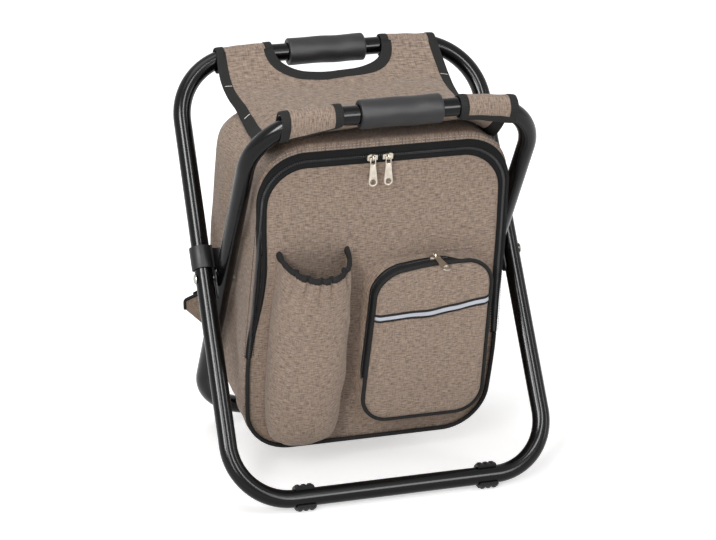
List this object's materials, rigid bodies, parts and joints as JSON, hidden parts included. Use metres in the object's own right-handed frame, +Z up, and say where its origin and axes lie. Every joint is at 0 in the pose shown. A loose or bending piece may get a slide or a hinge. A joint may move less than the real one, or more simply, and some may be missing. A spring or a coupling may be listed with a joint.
{
  "type": "folding cooler stool",
  "caption": "Folding stool of two crossed bent-tube loops with a cloth sling seat and a zipped insulated cooler bag with front pockets hanging under it.",
  "frame": {"origin": "on the floor under the middle of the open stool", "axes": "+Z up, +X to the right and -Y to the front, where the pockets and the bag's zip are"},
  "size_m": [0.3662, 0.292, 0.4355],
  "materials": {
    "powder_coat": "gloss black powder coat",
    "foam_grip": "matt closed-cell foam",
    "black_plastic": "moulded",
    "steel": "zinc plated",
    "zinc": "pale gold plated zinc",
    "melange": "woven polyester melange",
    "binding": "black woven tape",
    "foil": "aluminised film",
    "insulation": "white foam",
    "reflective": "retroreflective tape"
  },
  "bodies": {
    "outer_frame": {"outer_frame_tube": "powder_coat", "grip_back": "foam_grip", "foot_front_left": "black_plastic", "foot_front_right": "black_plastic", "pivot_rivet_left": "steel", "pivot_rivet_right": "steel", "pivot_spacer_left": "black_plastic", "pivot_spacer_right": "black_plastic", "fold_clip": "black_plastic", "sling_sleeve_back_left": "melange", "sling_sleeve_back_right": "melange"},
    "inner_frame": {"inner_frame_tube": "powder_coat", "grip_front": "foam_grip", "foot_back_left": "black_plastic", "foot_back_right": "black_plastic", "sling_sleeve_front_left": "melange", "sling_sleeve_front_right": "melange"},
    "bag": {"seat_sling": "melange", "bag_shell": "melange", "bag_insulation": "insulation", "bag_lining": "foil", "zip_tape_bag": "binding", "strap_pad_left": "melange", "strap_pad_right": "melange", "strap_buckle_left": "black_plastic", "strap_buckle_right": "black_plastic", "strap_webbing_left": "binding", "strap_webbing_right": "binding", "strap_tab_left": "melange", "strap_tab_right": "melange"},
    "front_panel": {"front_panel": "melange", "front_insulation": "insulation", "front_lining": "foil", "zip_tape_panel": "binding", "front_piping": "binding", "bottle_pocket": "melange", "bottle_pocket_elastic": "binding", "zip_pocket": "melange", "pocket_zip_tape": "binding", "pocket_binding": "binding", "reflective_strip": "reflective"},
    "zip_slider_left": {"zip_slider_left": "zinc"},
    "zip_slider_right": {"zip_slider_right": "zinc"},
    "zip_pull_left": {"zip_pull_left": "zinc"},
    "zip_pull_right": {"zip_pull_right": "zinc"},
    "pocket_zip_slider": {"pocket_zip_slider": "zinc"},
    "pocket_zip_pull": {"pocket_zip_pull": "zinc"}
  },
  "joints": [
    {"name": "fold", "type": "hinge", "parent": "outer_frame", "child": "inner_frame", "pos_m": [0, 0, 0.2165], "axis": [-1, 0, 0], "range_deg": [0, 57.4], "deforming": ["seat_sling"]},
    {"name": "bag_swing", "type": "hinge", "parent": "outer_frame", "child": "bag", "pos_m": [0, 0, 0.2165], "axis": [-1, 0, 0], "range_deg": [0, 28.7]},
    {"name": "front_panel_open", "type": "hinge", "parent": "bag", "child": "front_panel", "pos_m": [0, -0.03077, 0.02865], "axis": [1, 0, 0], "range_deg": [0, 40]},
    {"name": "zip_slide_left", "type": "slide", "parent": "front_panel", "child": "zip_slider_left", "axis": [1, 0, 0], "range_m": [-0.06, 0]},
    {"name": "zip_slide_right", "type": "slide", "parent": "front_panel", "child": "zip_slider_right", "axis": [1, 0, 0], "range_m": [0, 0.075]},
    {"name": "zip_pull_swing_left", "type": "hinge", "parent": "zip_slider_left", "child": "zip_pull_left", "pos_m": [-0.016, -0.09397, 0.36204], "axis": [-1, 0, 0], "range_deg": [-8, 100]},
    {"name": "zip_pull_swing_right", "type": "hinge", "parent": "zip_slider_right", "child": "zip_pull_right", "pos_m": [0.0005, -0.09397, 0.36204], "axis": [-1, 0, 0], "range_deg": [-8, 100]},
    {"name": "pocket_zip_slide", "type": "slide", "parent": "front_panel", "child": "pocket_zip_slider", "axis": [1, 0, 0], "range_m": [-0.04, 0.004]},
    {"name": "pocket_pull_swing", "type": "hinge", "parent": "pocket_zip_slider", "child": "pocket_zip_pull", "pos_m": [0.055, -0.08526, 0.24873], "axis": [-1, 0, 0], "range_deg": [0, 100]}
  ],
  "couplings": [
    {"joint": "bag_swing", "follows": "fold", "ratio": 0.5}
  ]
}
